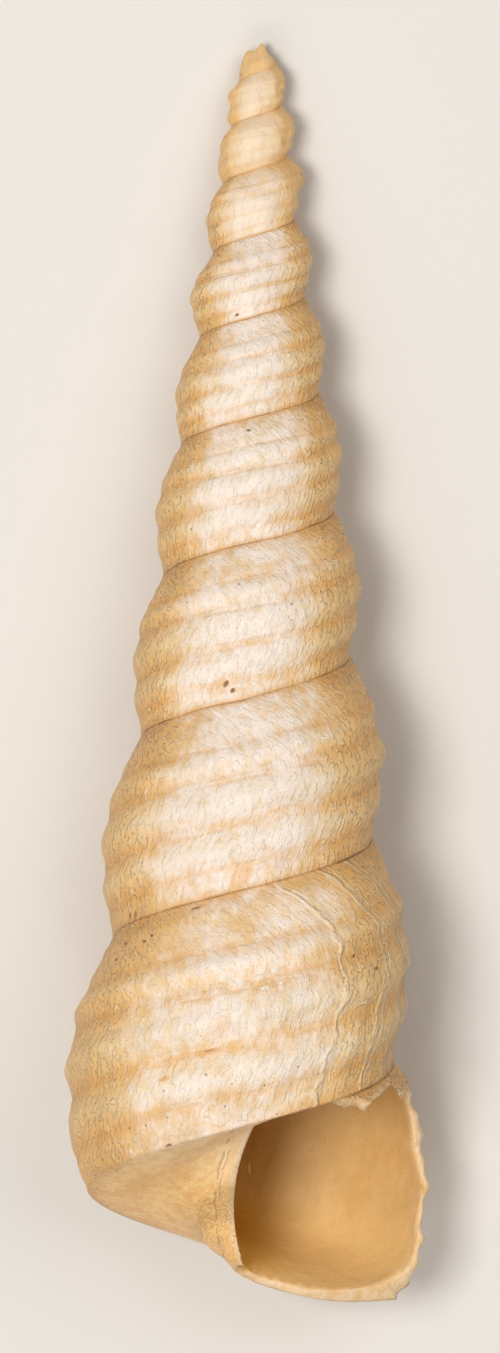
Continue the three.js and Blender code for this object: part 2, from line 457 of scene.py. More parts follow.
@dataclass
class Shell:
    """The whole shell as one fine closed mesh."""

    growth: Growth = field(default_factory=Growth)
    whorl: Whorl = field(default_factory=Whorl)
    foot: Foot = field(default_factory=Foot)
    lip: Lip = field(default_factory=Lip)
    line: GrowthLine = field(default_factory=GrowthLine)
    uneven: Unevenness = field(default_factory=Unevenness)
    base: tuple[BaseRow, ...] = (
        BaseRow(14.02, 6.4, -30, 12 / CAD_COLUMNS),
        BaseRow(14.2, 4.4, -38, 16 / CAD_COLUMNS),
        BaseRow(14.9, 3.05, -62, 20 / CAD_COLUMNS),
        BaseRow(15.8, 2.2, -93, 26 / CAD_COLUMNS),
        BaseRow(16.4, 1.4, -116, 1.0),
        BaseRow(16.65, 0.65, -128, 1.0),
        BaseRow(16.75, 0.0, -130, 1.0),
    )
    base_rise: float = 0.86
    base_rise_rows: Pair = (1.2, 1.6)
    hollow: tuple[Pair, ...] = (
        (3.0, 0.75),
        (0.9, 2.1),
        (0.2, 3.6),
        (0.1, 6.5),
        (0.9, 7.3),
        (1.8, 7.9),
        (3.5, 8.75),
        (5.5, 9.2),
        (7.3, 9.7),
        (9.2, 9.45),
        (10.6, 9.35),
        (11.65, 8.8),
        (12.3, 7.7),
        (12.7, 6.2),
        (12.95, 4.6),
        (13.4, 3.2),
        (14.1, 2.1),
        (13.6, 1.2),
        (11.2, 0.55),
    )
    hollow_from: float = -330 / DEGREES
    hollow_to: float = 66 / DEGREES
    hollow_steps: int = 110
    hollow_points: int = 3
    hollow_round_end: tuple[float, ...] = (0.3, 0.55, 0.72, 0.84, 0.92, 0.97, 0.99)
    mouth_drop: float = 7.3
    inner_lip_top: Pair = (0.4, -61.75)
    inner_lip_bow: Pair = (-1.37, -65.5)
    inner_lip_foot: Pair = (0.1, -69.15)
    inner_lip_steps: int = 24
    inner_lip_reach: float = 2.3
    inner_lip_above: float = 0.7
    inner_lip_back: Pair = (-2.8, -2.2)
    notch: tuple[Pair, ...] = (
        (5.9, -60.78),
        (6.73, -60.05),
        (7.22, -59.6),
        (7.4, -59.85),
        (7.66, -60.25),
        (7.6, -61.3),
        (6.2, -61.6),
    )
    notch_back: float = 1.2
    cutter_depth: float = 7.0
    callus_back: float = -3.2
    far_from_lip: float = 9.0
    rim_softness: float = 0.4
    rim_smoothings: int = 2
    rim_fade: Triple = (0.75, 0.5, 0.25)
    pillar_end: Pair = (-0.20, -69.05)
    pillar_end_reach: float = 0.7
    pillar_end_softness: float = 0.5
    pillar_end_smoothings: int = 8
    columns_per_turn: int = 90
    wall_rows: int = 20
    base_rows: int = 7
    finer_from: Pair = (-5.1, -1.35)
    row_crowding: float = 0.12
    row_crowding_width: float = 0.12
    mean_radius: float = 9.4
    wander: float = 0.14
    wander_rise: float = 1.5
    wander_waves: tuple[Pair, ...] = ((1.6, 1.0), (4.1, 0.5))
    wander_ends: Pair = (1.3, 0.9)
    tip: Triple = (0.1, -8.2, 0.0)
    tip_top: float = -7.75
    tip_rings: int = 14
    dome_place: Pair = (-8.54, 0.31)
    dome_slant: float = 0.7
    knob: Triple = (0.16, 0.24, 0.50)
    lump: Triple = (-0.62, 0.36, 0.44)
    lean: float = math.radians(8.8)
    wear_depth: float = 0.22

    def laid(self) -> Matrix:
        """Returns the move from the shell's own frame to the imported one."""
        low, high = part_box(NODE)
        tip_y = self.tip_top * math.cos(self.lean)
        shift = Vector(((low.x + high.x) / 2 / MM, high.y / MM - tip_y, low.z / MM - self.wear_depth))
        turned = Matrix.Rotation(-self.lean, 4, "X")
        return Matrix.Scale(MM, 4) @ Matrix.Translation(shift) @ turned

    def row_share(self, row: float) -> float:
        """Returns the share of the whorl's height at a row, with more rows near the sutures."""
        near = hill(min(row, 1 - row), self.row_crowding_width)
        return row - self.row_crowding * math.sin(2 * math.pi * row) * near

    def near_lip(self, column: float) -> float:
        """Returns 1 at the lip, falling to 0 where its foot stops rising."""
        return ease(column, self.growth.lip_turn - self.foot.lip_rise_turns, self.growth.lip_turn)

    def wall_place(self, column: float, row: float) -> Triple:
        """Gives the place of a point of the wall.

        Args:
            column: the turn that the point's column has at the suture.
            row: 0 at the suture above, 1 at the foot.

        Returns:
            Its turn, its drop and its radius, the last two as on the whorl at turn 0.
        """
        share = self.row_share(row)
        drop = self.growth.drop_of(share)
        nearness = ease(column, self.growth.lip_turn - self.lip.bend, self.growth.lip_turn)
        turn = column - self.lip.turned_back(drop) * nearness
        distance = self.growth.distance + drop
        radius = (self.whorl.radius_share(turn, share) - self.whorl.crack(share)) * distance
        first = self.growth.lip_turn - 1
        free = ease(column, first, first + self.foot.blend_turns)
        rounding = ease(share, self.foot.begins, 1.0) * free
        risen = self.foot.lip_rise * self.near_lip(column)
        drop -= (self.growth.drop_of(1.0) - self.foot.drop + risen) * rounding
        full = self.growth.suture_radius * self.growth.ratio
        radius -= (full - self.foot.radius) * rounding**3
        return turn, drop, radius

    def wall_point(self, column: float, row: float) -> Vector:
        """Returns the point of the outer wall at a column and a row."""
        turn, drop, radius = self.wall_place(column, row)
        share = self.row_share(row)
        radius += self.uneven.at(turn, share, turn + self.line.lag(share), row)
        point = self.growth.point(turn, drop, radius)
        point.y += self.strayed(turn, share)
        return self.growth.draw_in(point, share)

    def strayed(self, turn: float, share: float) -> float:
        """Returns how far a place of the wall strays along the axis, as no suture runs true."""
        around = round_axis(turn, share, self.wander_rise)
        wave = sum(size * noise.noise(around * beat) for beat, size in self.wander_waves)
        ends = ease(turn + share, *(self.growth.lip_turn - turns for turns in self.wander_ends))
        return self.wander * (1 - ends) * self.growth.scale(turn + share) * wave

    def base_point(self, column: float, row: float) -> Vector:
        """Returns the point of the base at a column and a row, from 1 on the foot to 2."""
        _, foot_drop, foot_radius = self.wall_place(column, 1.0)
        lip_foot = (self.growth.lip_turn - self.lip.turned_back(foot_drop)) * DEGREES
        near_lip = self.near_lip(column)
        start = BaseRow(foot_drop + self.foot.lip_rise * near_lip, foot_radius, lip_foot, self.lip.bend)
        lines = [(r.drop, r.radius, r.lip, r.bend) for r in (start, *self.base)]
        drop, radius, lip, bend = through(lines, (row - 1) * len(self.base))
        drop -= blend(self.foot.lip_rise, self.base_rise, ease(row, *self.base_rise_rows)) * near_lip
        nearness = ease(column, self.growth.lip_turn - bend, self.growth.lip_turn)
        turn = column - (self.growth.lip_turn - lip / DEGREES) * nearness
        return self.growth.point(turn, drop, radius)

    def flat_sheet(self, bm: Mesh) -> None:
        """Lays the outer surface out flat, with columns along x and rows along y."""
        lip = self.growth.lip_turn
        count = round((lip - self.growth.first_turn) * self.columns_per_turn)
        first = lip - count / self.columns_per_turn
        for start, top, columns, rows in (
            (first, 0.0, count, self.wall_rows),
            (lip - 1, 1.0, self.columns_per_turn, self.base_rows),
        ):
            middle = Matrix.Translation(((start + lip) / 2, top + 0.5, 0))
            size = Matrix.Diagonal((lip - start, 1, 1, 1))
            bmesh.ops.create_grid(
                bm, x_segments=columns, y_segments=rows, size=0.5, matrix=middle @ size
            )
        bmesh.ops.remove_doubles(bm, verts=bm.verts, dist=WELD)
        for turn in self.finer_from:
            cells = round((lip - turn) * self.columns_per_turn)
            self.refine(bm, lip - cells / self.columns_per_turn)

    @staticmethod
    def refine(bm: Mesh, turn: float) -> None:
        """Halves the cells of the flat sheet from a turn on, and the foot that they grow on.

        Args:
            bm: the flat sheet.
            turn: a column line of the sheet.
        """
        edges = []
        for edge in bm.edges:
            first = min(v.co.x for v in edge.verts)
            on_foot = all(abs(v.co.y - 1) < WELD for v in edge.verts)
            if first > turn - WELD or (on_foot and first > turn - 1 - WELD):
                edges.append(edge)
        bmesh.ops.subdivide_edges(bm, edges=edges, cuts=1, use_grid_fill=True)

    def roll_up(self, bm: Mesh) -> None:
        """Rolls the flat sheet onto the spiral and keeps each corner's place on the whorl."""
        on_whorl = bm.loops.layers.uv.new("whorl")
        in_mm = bm.loops.layers.uv.new("growth")
        per_turn = TURN * self.mean_radius / math.log(self.growth.ratio)
        height = self.growth.drop_of(1.0)
        for face in bm.faces:
            face.smooth = True
            for loop in face.loops:
                column, row = loop.vert.co.xy
                share = self.row_share(row) if row <= 1 else row
                turn = self.wall_place(column, min(row, 1.0))[0]
                line = turn + self.line.lag(min(share, 1.0))
                loop[on_whorl].uv = (line, share)
                along = per_turn * self.growth.scale(line)
                loop[in_mm].uv = (along, height * self.growth.scale(turn) * share)
        for vert in bm.verts:
            column, row = vert.co.xy
            vert.co = self.wall_point(column, row) if row <= 1 else self.base_point(column, row)
        bmesh.ops.remove_doubles(bm, verts=bm.verts, dist=WELD)
        bmesh.ops.dissolve_degenerate(bm, edges=bm.edges, dist=WELD / 10)

    def dome_rings(self, bm: Mesh, ring: Edges) -> tuple[Edges, Faces]:
        """Grows rings over the broken tip.

        Args:
            bm: the rolled up shell.
            ring: the edges of the tip's rim.

        Returns:
            The edges of the last ring, and the faces of all.
        """
        tip = Vector(self.tip)
        starts = {v: v.co.copy() for e in ring for v in e.verts}
        domed = []
        for step in range(1, self.tip_rings):
            made = bmesh.ops.extrude_edge_only(bm, edges=ring)["geom"]
            ring = [g for g in made if isinstance(g, bmesh.types.BMEdge) and g.is_boundary]
            domed.extend(g for g in made if isinstance(g, bmesh.types.BMFace))
            quarter = step / self.tip_rings * math.pi / 2
            new = {}
            for vert in {v for e in ring for v in e.verts}:
                old = next(v for e in vert.link_edges for v in e.verts if v in starts)
                start = starts[old]
                vert.co.x = blend(tip.x, start.x, math.cos(quarter))
                vert.co.z = blend(tip.z, start.z, math.cos(quarter))
                vert.co.y = blend(start.y, tip.y, math.sin(quarter))
                new[vert] = start
            starts = new
        return ring, domed

    @staticmethod
    def shut(bm: Mesh, edges: Edges, centre: Vector, part: Part) -> Faces:
        """Fills a hole with a fan.

        Args:
            bm: the shell.
            edges: the edges round the hole.
            centre: the fan's middle.
            part: the part of the shell that it belongs to.

        Returns:
            The fan's faces.
        """
        filled = bmesh.ops.holes_fill(bm, edges=edges, sides=len(edges))["faces"]
        poked = bmesh.ops.poke(bm, faces=filled)
        for face in poked["faces"]:
            face.material_index = part.value
            face.smooth = True
        for vert in poked["verts"]:
            vert.co = centre
        return list(poked["faces"])

    def close_ends(self, bm: Mesh) -> None:
        """Domes the broken tip over, and shuts the mouth for the hollow to be cut."""
        halfway = -self.growth.distance / 2
        rim = [e for e in bm.edges if e.is_boundary]
        at_tip = [e for e in rim if e.verts[0].co.y > halfway]
        at_mouth = [e for e in rim if e.verts[0].co.y < halfway]
        rim_verts = {v for e in at_tip for v in e.verts}
        ring, domed = self.dome_rings(bm, at_tip)
        domed += self.shut(bm, ring, Vector(self.tip), Part.WALL)
        middle = self.growth.point(0.0, self.mouth_drop, self.growth.suture_radius / 2)
        self.shut(bm, at_mouth, middle, Part.EDGE)
        for vert in {v for face in domed for v in face.verts if v not in rim_verts}:
            for middle_x, width, height in (self.knob, self.lump):
                vert.co.y += height * hill(math.hypot(vert.co.x - middle_x, vert.co.z), width)
        for face in domed:
            face.smooth = True
            for loop in face.loops:
                spot = loop.vert.co
                loop[bm.loops.layers.uv["whorl"]].uv = self.dome_place
                loop[bm.loops.layers.uv["growth"]].uv = (spot.x + self.dome_slant * spot.z, spot.y)

    def outer_form(self) -> bpy.types.Object:
        """Returns the shell before it is hollowed."""
        bm = bmesh.new()
        self.flat_sheet(bm)
        self.roll_up(bm)
        self.close_ends(bm)
        bmesh.ops.recalc_face_normals(bm, faces=bm.faces)
        return to_object(bm, "turritella_shell_fine")

    def hollow_form(self) -> bpy.types.Object:
        """Returns the space inside the last turn, closed and rounded deep in the shell."""
        bm = bmesh.new()
        around = len(self.hollow) * self.hollow_points
        middle = [sum(values) / len(self.hollow) for values in zip(*self.hollow)]
        bmesh.ops.create_grid(bm, x_segments=self.hollow_steps, y_segments=around, size=0.5)
        for vert in bm.verts:
            step = round((vert.co.x + 0.5) * self.hollow_steps)
            ring = through(self.hollow, (vert.co.y + 0.5) * len(self.hollow), closed=True)
            full = self.hollow_round_end[step] if step < len(self.hollow_round_end) else 1.0
            drop, radius = (blend(m, value, full) for m, value in zip(middle, ring))
            turn = blend(self.hollow_from, self.hollow_to, step / self.hollow_steps)
            vert.co = self.growth.point(turn, drop, radius)
        bmesh.ops.remove_doubles(bm, verts=bm.verts, dist=WELD)
        bmesh.ops.holes_fill(bm, edges=bm.edges, sides=around + 1)
        return self.mouth_space(bm, "mouth_space")

    @staticmethod
    def mouth_space(bm: Mesh, name: str) -> bpy.types.Object:
        """Returns a closed form as a cutter that leaves surfaces of the mouth."""
        for face in bm.faces:
            face.smooth = True
            face.material_index = Part.MOUTH.value
        bmesh.ops.recalc_face_normals(bm, faces=bm.faces)
        return to_object(bm, name)

    def inner_lip_curve(self) -> tuple[Vector, Vector, Vector]:
        """Returns the three points that the bow of the inner lip is drawn from."""
        return Vector(self.inner_lip_top), Vector(self.inner_lip_bow), Vector(self.inner_lip_foot)

    def inner_lip_form(self) -> bpy.types.Object:
        """Returns what the bowed inner lip leaves open beside the pillar."""
        top, bow, foot = self.inner_lip_curve()
        steps = self.inner_lip_steps
        outline = [bowed(top, bow, foot, step / steps) for step in range(steps + 1)]
        outline.append(Vector((self.inner_lip_reach, foot.y)))
        outline.append(Vector((self.inner_lip_reach, top.y + self.inner_lip_above)))
        corners = []
        for p in outline:
            down = (p.y - top.y) / (foot.y - top.y)
            corners.append((p.x, p.y, blend(*self.inner_lip_back, down)))
        return self.cutter("inner_lip_space", corners)

    def notch_form(self) -> bpy.types.Object:
        """Returns the gap that is broken out of the lip beside the tooth."""
        return self.cutter("notch_space", [(x, y, self.notch_back) for x, y in self.notch])

    def cutter(self, name: str, corners: list[Triple]) -> bpy.types.Object:
        """Builds a block that reaches forwards out of the mouth.

        Args:
            name: the object's name.
            corners: the outline of its back.

        Returns:
            The block as an object.
        """
        bm = bmesh.new()
        verts = [bm.verts.new(corner) for corner in corners]
        face = bmesh.ops.contextual_create(bm, geom=verts)["faces"][0]
        made = bmesh.ops.extrude_face_region(bm, geom=[face])["geom"]
        moved = [g for g in made if isinstance(g, bmesh.types.BMVert)]
        bmesh.ops.translate(bm, verts=moved, vec=(0, 0, self.cutter_depth))
        return self.mouth_space(bm, name)

    def build(self) -> bpy.types.Object:
        """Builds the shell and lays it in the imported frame.

        Returns:
            The finished mesh object, without materials.
        """
        shell = self.outer_form()
        for cutter in (self.hollow_form(), self.inner_lip_form(), self.notch_form()):
            cut(shell, cutter)
        bm = bmesh.new()
        bm.from_mesh(shell.data)
        self.soften_edges(bm)
        bm.transform(self.laid())
        for vert in bm.verts:
            vert.co.z = max(vert.co.z, 0.0)
        bmesh.ops.triangulate(bm, faces=[f for f in bm.faces if len(f.verts) > 4])
        bm.to_mesh(shell.data)
        bm.free()
        return shell

    def measure_lip(self, bm: Mesh) -> None:
        """Keeps how many mm each point is from the edge of the inner lip."""
        beside = bm.verts.layers.float.new("beside_lip")
        top, bow, foot = self.inner_lip_curve()
        for vert in bm.verts:
            down = min(1.0, max(0.0, (vert.co.y - top.y) / (foot.y - top.y)))
            edge = bowed(top, bow, foot, down)
            past_ends = max(0.0, vert.co.y - top.y) + max(0.0, foot.y - vert.co.y)
            away = math.hypot(edge.x - vert.co.x, past_ends)
            vert[beside] = away if vert.co.z > self.callus_back else self.far_from_lip

    def soften_edges(self, bm: Mesh) -> None:
        """Rounds the edge between the wall and the mouth, and marks how near each point is."""
        rim = bm.verts.layers.float.new("rim")
        for vert in bm.verts:
            parts = {face.material_index for face in vert.link_faces}
            vert[rim] = 1.0 if len(parts) > 1 else 0.0
        self.measure_lip(bm)
        level = [v for v in bm.verts if v[rim] == 1.0]
        smooth(bm, level, self.rim_softness, self.rim_smoothings)
        end = Vector(self.pillar_end)
        in_front = [v for v in bm.verts if v.co.z > self.callus_back]
        worn = [v for v in in_front if (v.co.xy - end).length < self.pillar_end_reach]
        smooth(bm, worn, self.pillar_end_softness, self.pillar_end_smoothings)
        for strength in self.rim_fade:
            level = [w for v in level for e in v.link_edges for w in e.verts if w[rim] == 0.0]
            for vert in level:
                vert[rim] = strength


def smooth(bm: Mesh, verts: list[bmesh.types.BMVert], factor: float, times: int) -> None:
    """Smooths some points of a mesh a number of times."""
    for _ in range(times):
        bmesh.ops.smooth_vert(
            bm, verts=verts, factor=factor, use_axis_x=True, use_axis_y=True, use_axis_z=True
        )


def to_object(bm: Mesh, name: str) -> bpy.types.Object:
    """Turns a bmesh into an object of the scene and frees it."""
    mesh = bpy.data.meshes.new(name)
    bm.to_mesh(mesh)
    bm.free()
    made = bpy.data.objects.new(name, mesh)
    bpy.context.scene.collection.objects.link(made)
    return made


def cut(target: bpy.types.Object, cutter: bpy.types.Object) -> None:
    """Takes the cutter's space out of the target and removes the cutter."""
    step = target.modifiers.new("cut", "BOOLEAN")
    step.object = cutter
    step.operation = "DIFFERENCE"
    step.solver = "EXACT"
    graph = bpy.context.evaluated_depsgraph_get()
    mesh = bpy.data.meshes.new_from_object(target.evaluated_get(graph))
    target.modifiers.clear()
    target.data = mesh
    bpy.data.objects.remove(cutter)


@dataclass
class Nodes:
    """Adds nodes to a tree and links them."""

    tree: bpy.types.NodeTree

    def feed(self, socket: Socket, value: Feed) -> None:
        """Links or sets one input of a node."""
        if isinstance(value, Socket):
            self.tree.links.new(value, socket)
        elif isinstance(value, tuple) and len(value) == 3 and socket.type == "RGBA":
            socket.default_value = (*value, 1)
        else:
            socket.default_value = value

    def add(self, kind: str, inputs: dict[str | int, Feed], **settings: object) -> bpy.types.Node:
        """Adds a node.

        Args:
            kind: the node's type.
            inputs: values or sockets for its inputs, by name or number.
            settings: its other settings.

        Returns:
            The node.
        """
        node = self.tree.nodes.new(kind)
        for name, value in settings.items():
            setattr(node, name, value)
        for name, value in inputs.items():
            self.feed(node.inputs[name], value)
        return node

    def math(self, operation: str, a: Feed, b: Feed = 0.0) -> Socket:
        """Returns the result of a sum on one or two numbers."""
        return self.add("ShaderNodeMath", {0: a, 1: b}, operation=operation).outputs[0]

    def scaled(self, value: Feed, factor: Feed, plus: Feed) -> Socket:
        """Returns a value times a factor, with something added."""
        inputs = {0: value, 1: factor, 2: plus}
        return self.add("ShaderNodeMath", inputs, operation="MULTIPLY_ADD").outputs[0]

    def total(self, values: Sequence[Feed], operation: str = "ADD") -> Socket:
        """Returns all values joined by one operation."""
        result = values[0]
        for value in values[1:]:
            result = self.math(operation, result, value)
        return result

    def times(self, *values: Feed) -> Socket:
        """Returns the product of the values."""
        return self.total(values, "MULTIPLY")

    def rest(self, value: Feed) -> Socket:
        """Returns what is left of 1 when the value is taken away."""
        return self.math("SUBTRACT", 1.0, value)

    def vector(self, operation: str, a: Feed, b: Feed) -> Socket:
        """Returns the result of a sum on vectors."""
        return self.add("ShaderNodeVectorMath", {0: a, 1: b}, operation=operation).outputs[0]

    def spread(
        self, value: Feed, low: float, high: float, bottom: float = 0.0, top: float = 1.0
    ) -> Socket:
        """Returns a value eased from `bottom` to `top` while the input goes from `low` to `high`."""
        inputs = {"Value": value, "From Min": low, "From Max": high, "To Min": bottom, "To Max": top}
        return self.add("ShaderNodeMapRange", inputs, interpolation_type="SMOOTHSTEP").outputs[0]

    def line(self, value: Feed, centre: float, width: float) -> Socket:
        """Returns 1 where a value is at the centre, falling to 0 at the width from it."""
        away = self.math("ABSOLUTE", self.math("SUBTRACT", value, centre))
        return self.spread(away, 0.0, width, 1.0, 0.0)

    def noise(self, place: Feed, scale: Feed, detail: float = 2.0, roughness: float = 0.5) -> Socket:
        """Returns a cloudy value about a half."""
        inputs = {"Vector": place, "Scale": scale, "Detail": detail, "Roughness": roughness}
        return self.add("ShaderNodeTexNoise", inputs).outputs[0]

    def swing(self, place: Feed, scale: Feed, detail: float = 2.0, roughness: float = 0.5) -> Socket:
        """Returns a cloudy value about nothing."""
        return self.math("SUBTRACT", self.noise(place, scale, detail, roughness), 0.5)

    def mix(self, share: Feed, a: Feed, b: Feed, way: str = "MIX") -> Socket:
        """Returns a colour between two colours."""
        node = self.tree.nodes.new("ShaderNodeMix")
        node.data_type = "RGBA"
        node.blend_type = way
        for index, value in ((0, share), (6, a), (7, b)):
            self.feed(node.inputs[index], value)
        return node.outputs[2]

    def shade(self, colour: Feed, by: Feed) -> Socket:
        """Returns a colour made lighter or darker by a number."""
        grey = self.add("ShaderNodeCombineXYZ", {0: by, 1: by, 2: by}).outputs[0]
        return self.mix(1.0, colour, grey, "MULTIPLY")

    def ramp(self, value: Feed, stops: tuple[tuple[float, Colour], ...]) -> Socket:
        """Returns the colour of a ramp at a value."""
        node = self.add("ShaderNodeValToRGB", {0: value})
        bands = node.color_ramp.elements
        while len(bands) < len(stops):
            bands.new(0.5)
        for band, (place, colour) in zip(bands, stops):
            band.position = place
            band.color = (*colour, 1)
        return node.outputs[0]


@dataclass(frozen=True)
class Layer:
    """What is laid on where a mask is: a colour, how strongly, and its relief in mm."""

    colour: Colour
    strength: float = 1.0
    height: float = 0.0


@dataclass(frozen=True)
class Mark:
    """A single mark of the wall: its turn and share, and its size in both."""

    turn: float
    share: float
    wide: float
    high: float
    strength: float = 1.0


@dataclass(frozen=True)
class Scar:
    """A line where growth stopped: its place among the growth lines, its width and height."""

    line: float
    width: float
    height: float


CREAM: Colour = (0.95, 0.78, 0.52)
DIP_SHADE: Colour = (0.55, 0.32, 0.12)
RUST: Colour = (0.76, 0.40, 0.12)
LIP_CREAM: Colour = (1.0, 0.78, 0.54)


@dataclass(frozen=True)
class WallFinish:
    """Colours and marks of the outer wall.

    A pair is the range of a value over which something sets in. Turns and shares are places on
    the wall, and `beside` values are mm from the edge of the inner lip.
    """

    bands: tuple[tuple[float, Colour], ...] = (
        (0, (0.58, 0.31, 0.08)),
        (0.05, (0.78, 0.46, 0.16)),
        (0.12, (0.85, 0.55, 0.25)),
        (0.22, (0.86, 0.55, 0.24)),
        (0.26, (0.82, 0.48, 0.17)),
        (0.31, (0.88, 0.61, 0.31)),
        (0.38, (0.86, 0.55, 0.24)),
        (0.42, (0.80, 0.47, 0.16)),
        (0.48, (0.87, 0.59, 0.29)),
        (0.56, (0.88, 0.65, 0.36)),
        (0.64, (0.86, 0.57, 0.27)),
        (0.68, (0.81, 0.47, 0.16)),
        (0.73, (0.87, 0.59, 0.29)),
        (0.79, (0.88, 0.66, 0.37)),
        (0.86, (0.85, 0.53, 0.23)),
        (0.89, (0.80, 0.46, 0.15)),
        (0.94, (0.86, 0.56, 0.25)),
        (1, (0.78, 0.47, 0.18)),
    )
    band_stretch: Triple = (0.16, 0.9, 1.0)
    band_wave: float = 0.045
    banded_turns: Pair = (-7.4, -5.9)
    plain: Colour = (0.89, 0.63, 0.34)
    plainness: float = 0.65

    # Painted highlight: the front of the shell, where the lamps' highlight falls, is painted whiter on top
    # of its real worn patches.
    highlight_at: float = 0.264
    highlight_cosines: Pair = (0.52, 1.0)
    # Painted shade of the flanks, multiplied in away from the front.
    shaded_flank: Colour = (0.95, 0.83, 0.61)
    # The worn colour is partly real wear and partly painted highlight on the front.
    worn: Colour = (0.88, 0.77, 0.68)
    wear_and_highlight_levels: Pair = (0.55, 0.86)
    most_worn: float = 0.9
    worn_cords: tuple[Pair, ...] = ((0.31, 0.05), (0.557, 0.12), (0.785, 0.11))
    cord_wear: float = 0.05
    # Painted highlight: how much more worn colour is laid on at the front, above the body whorl and on it.
    highlight_above: float = 0.27
    highlight_on_body: float = 0.21
    body_turns: Pair = (-1.05, -0.85)

    base_shares: Pair = (0.985, 1.06)
    base: Colour = (0.93, 0.57, 0.24)
    base_pale: Colour = (0.96, 0.68, 0.36)
    callus: Colour = (0.98, 0.65, 0.32)
    callus_shares: Pair = (1.55, 1.75)
    callus_beside: Pair = (0.95, 0.75)
    lip_rim: Colour = LIP_CREAM
    lip_rim_beside: Pair = (0.42, 0.12)
    fold: Layer = Layer(LIP_CREAM, 0.5, 0.045)
    fold_beside: Pair = (0.78, 0.07)
    callus_edge: Layer = Layer((0.50, 0.24, 0.06), 0.62, -0.02)
    callus_edge_beside: Pair = (0.92, 0.08)

    groove: Layer = Layer((0.80, 0.45, 0.16), 0.40, -0.03)
    grooves: tuple[float, ...] = (0.245, 0.415, 0.445, 0.66, 0.685, 0.875)
    groove_widths: Pair = (0.026, 0.034)
    dash_stretch: Triple = (2.7, 1.35, 1.0)
    # The strokes' lighter colour is partly painted highlight; the darker dip is painted shade.
    dash: Layer = Layer(CREAM, 0.5, 0.12)
    shaded_dip: Layer = Layer(DIP_SHADE, 0.16, -0.03)
    fine_height: float = 0.055
    coarse_height: float = 0.06
    grain_height: float = 0.035
    mottle_height: float = 0.05
    smoothest: float = 0.25
    smooth_tip: float = 0.15

    # Ridge colours: the cream is partly painted highlight, the dip is painted shade.
    crowded_and_highlight: Layer = Layer(CREAM, 0.5, 0.34)
    crowded_shaded_dip: Layer = Layer(DIP_SHADE, 0.35)
    crowded_stretch: Triple = (120.0, 3.0, 1.0)
    crowded_turns: tuple[Pair, Pair] = ((-0.87, -0.90), (-1.12, -1.0))
    crowded_shares: Pair = (0.2, 0.45)
    scar_colour: Layer = Layer(CREAM, 0.5)
    scar_wobble: float = 0.022
    scars: tuple[Scar, ...] = (
        Scar(-0.782, 0.0045, 0.08),
        Scar(-0.842, 0.0045, 0.11),
        Scar(-0.852, 0.0025, 0.05),
        Scar(-0.886, 0.0040, 0.10),
        Scar(-0.898, 0.0030, 0.05),
        Scar(-0.915, 0.0030, 0.05),
    )

    stain: Layer = Layer(RUST, 0.75)
    stains: tuple[Mark, ...] = (
        Mark(-0.712, 0.676, 0.011, 0.012),
        Mark(-0.695, 0.672, 0.024, 0.010, 0.7),
        Mark(-0.671, 0.744, 0.005, 0.010),
        Mark(-0.728, 0.58, 0.007, 0.05, 0.4),
        Mark(-1.74, 0.93, 0.012, 0.05, 0.7),
        Mark(-2.70, 0.90, 0.012, 0.05, 0.5),
    )
    pit: Layer = Layer((0.33, 0.155, 0.05), 1.0, -0.05)
    pinholes: float = 0.75
    pits: tuple[Mark, ...] = (
        Mark(-0.589, 0.103, 0.0028, 0.0070),
        Mark(-0.624, 0.125, 0.0021, 0.0063),
        Mark(-0.634, 0.107, 0.0021, 0.0056),
        Mark(-0.583, 0.168, 0.0024, 0.0070),
        Mark(-0.686, 0.031, 0.0056, 0.0049),
        Mark(-5.694, 0.932, 0.0049, 0.0140),
        Mark(-3.739, 0.104, 0.0035, 0.0098),
        Mark(-2.712, 0.885, 0.0030, 0.0160),
        Mark(-2.722, 0.930, 0.0030, 0.0120),
        Mark(-0.667, 0.998, 0.0028, 0.0056),
        Mark(-0.892, 0.50, 0.0024, 0.0063),
        Mark(-0.714, 0.672, 0.0040, 0.0040, 0.6),
        Mark(-0.866, 0.42, 0.0021, 0.0056),
        Mark(-1.587, 0.985, 0.0026, 0.0260),
        Mark(-1.577, 0.965, 0.0020, 0.0120),
    )
    # Painted highlight: small white glints where crystal grains catch the light.
    painted_glint: Layer = Layer((1.0, 0.98, 0.95), 0.8)
    painted_glints: tuple[Mark, ...] = (
        Mark(-0.775, 0.395, 0.0018, 0.010),
        Mark(-0.766, 0.460, 0.0035, 0.005),
        Mark(-0.782, 0.455, 0.0014, 0.005),
        Mark(-3.761, 0.883, 0.0032, 0.010),
    )

    suture: Layer = Layer((0.30, 0.12, 0.025), 0.9, -0.035)
    suture_shares: Pair = (0.002, 0.0075)
    suture_raggedness: float = 0.008
    # Painted shade: how far the suture's dark line fades on the highlit front, so it stays darker on the
    # flanks.
    suture_on_highlight: float = 0.55
    faint_suture: float = 0.55
    tip_suture: float = 0.35
    seep: Colour = RUST
    seep_share: float = 0.045
    seep_strength: float = 0.65
    uncovered_turns: Pair = (-0.92, -0.84)

    rim_strength: float = 0.85
    roughness: float = 0.42
    grain_roughness: float = 0.16
    pit_roughness: float = 0.3
    sheen: float = 0.08


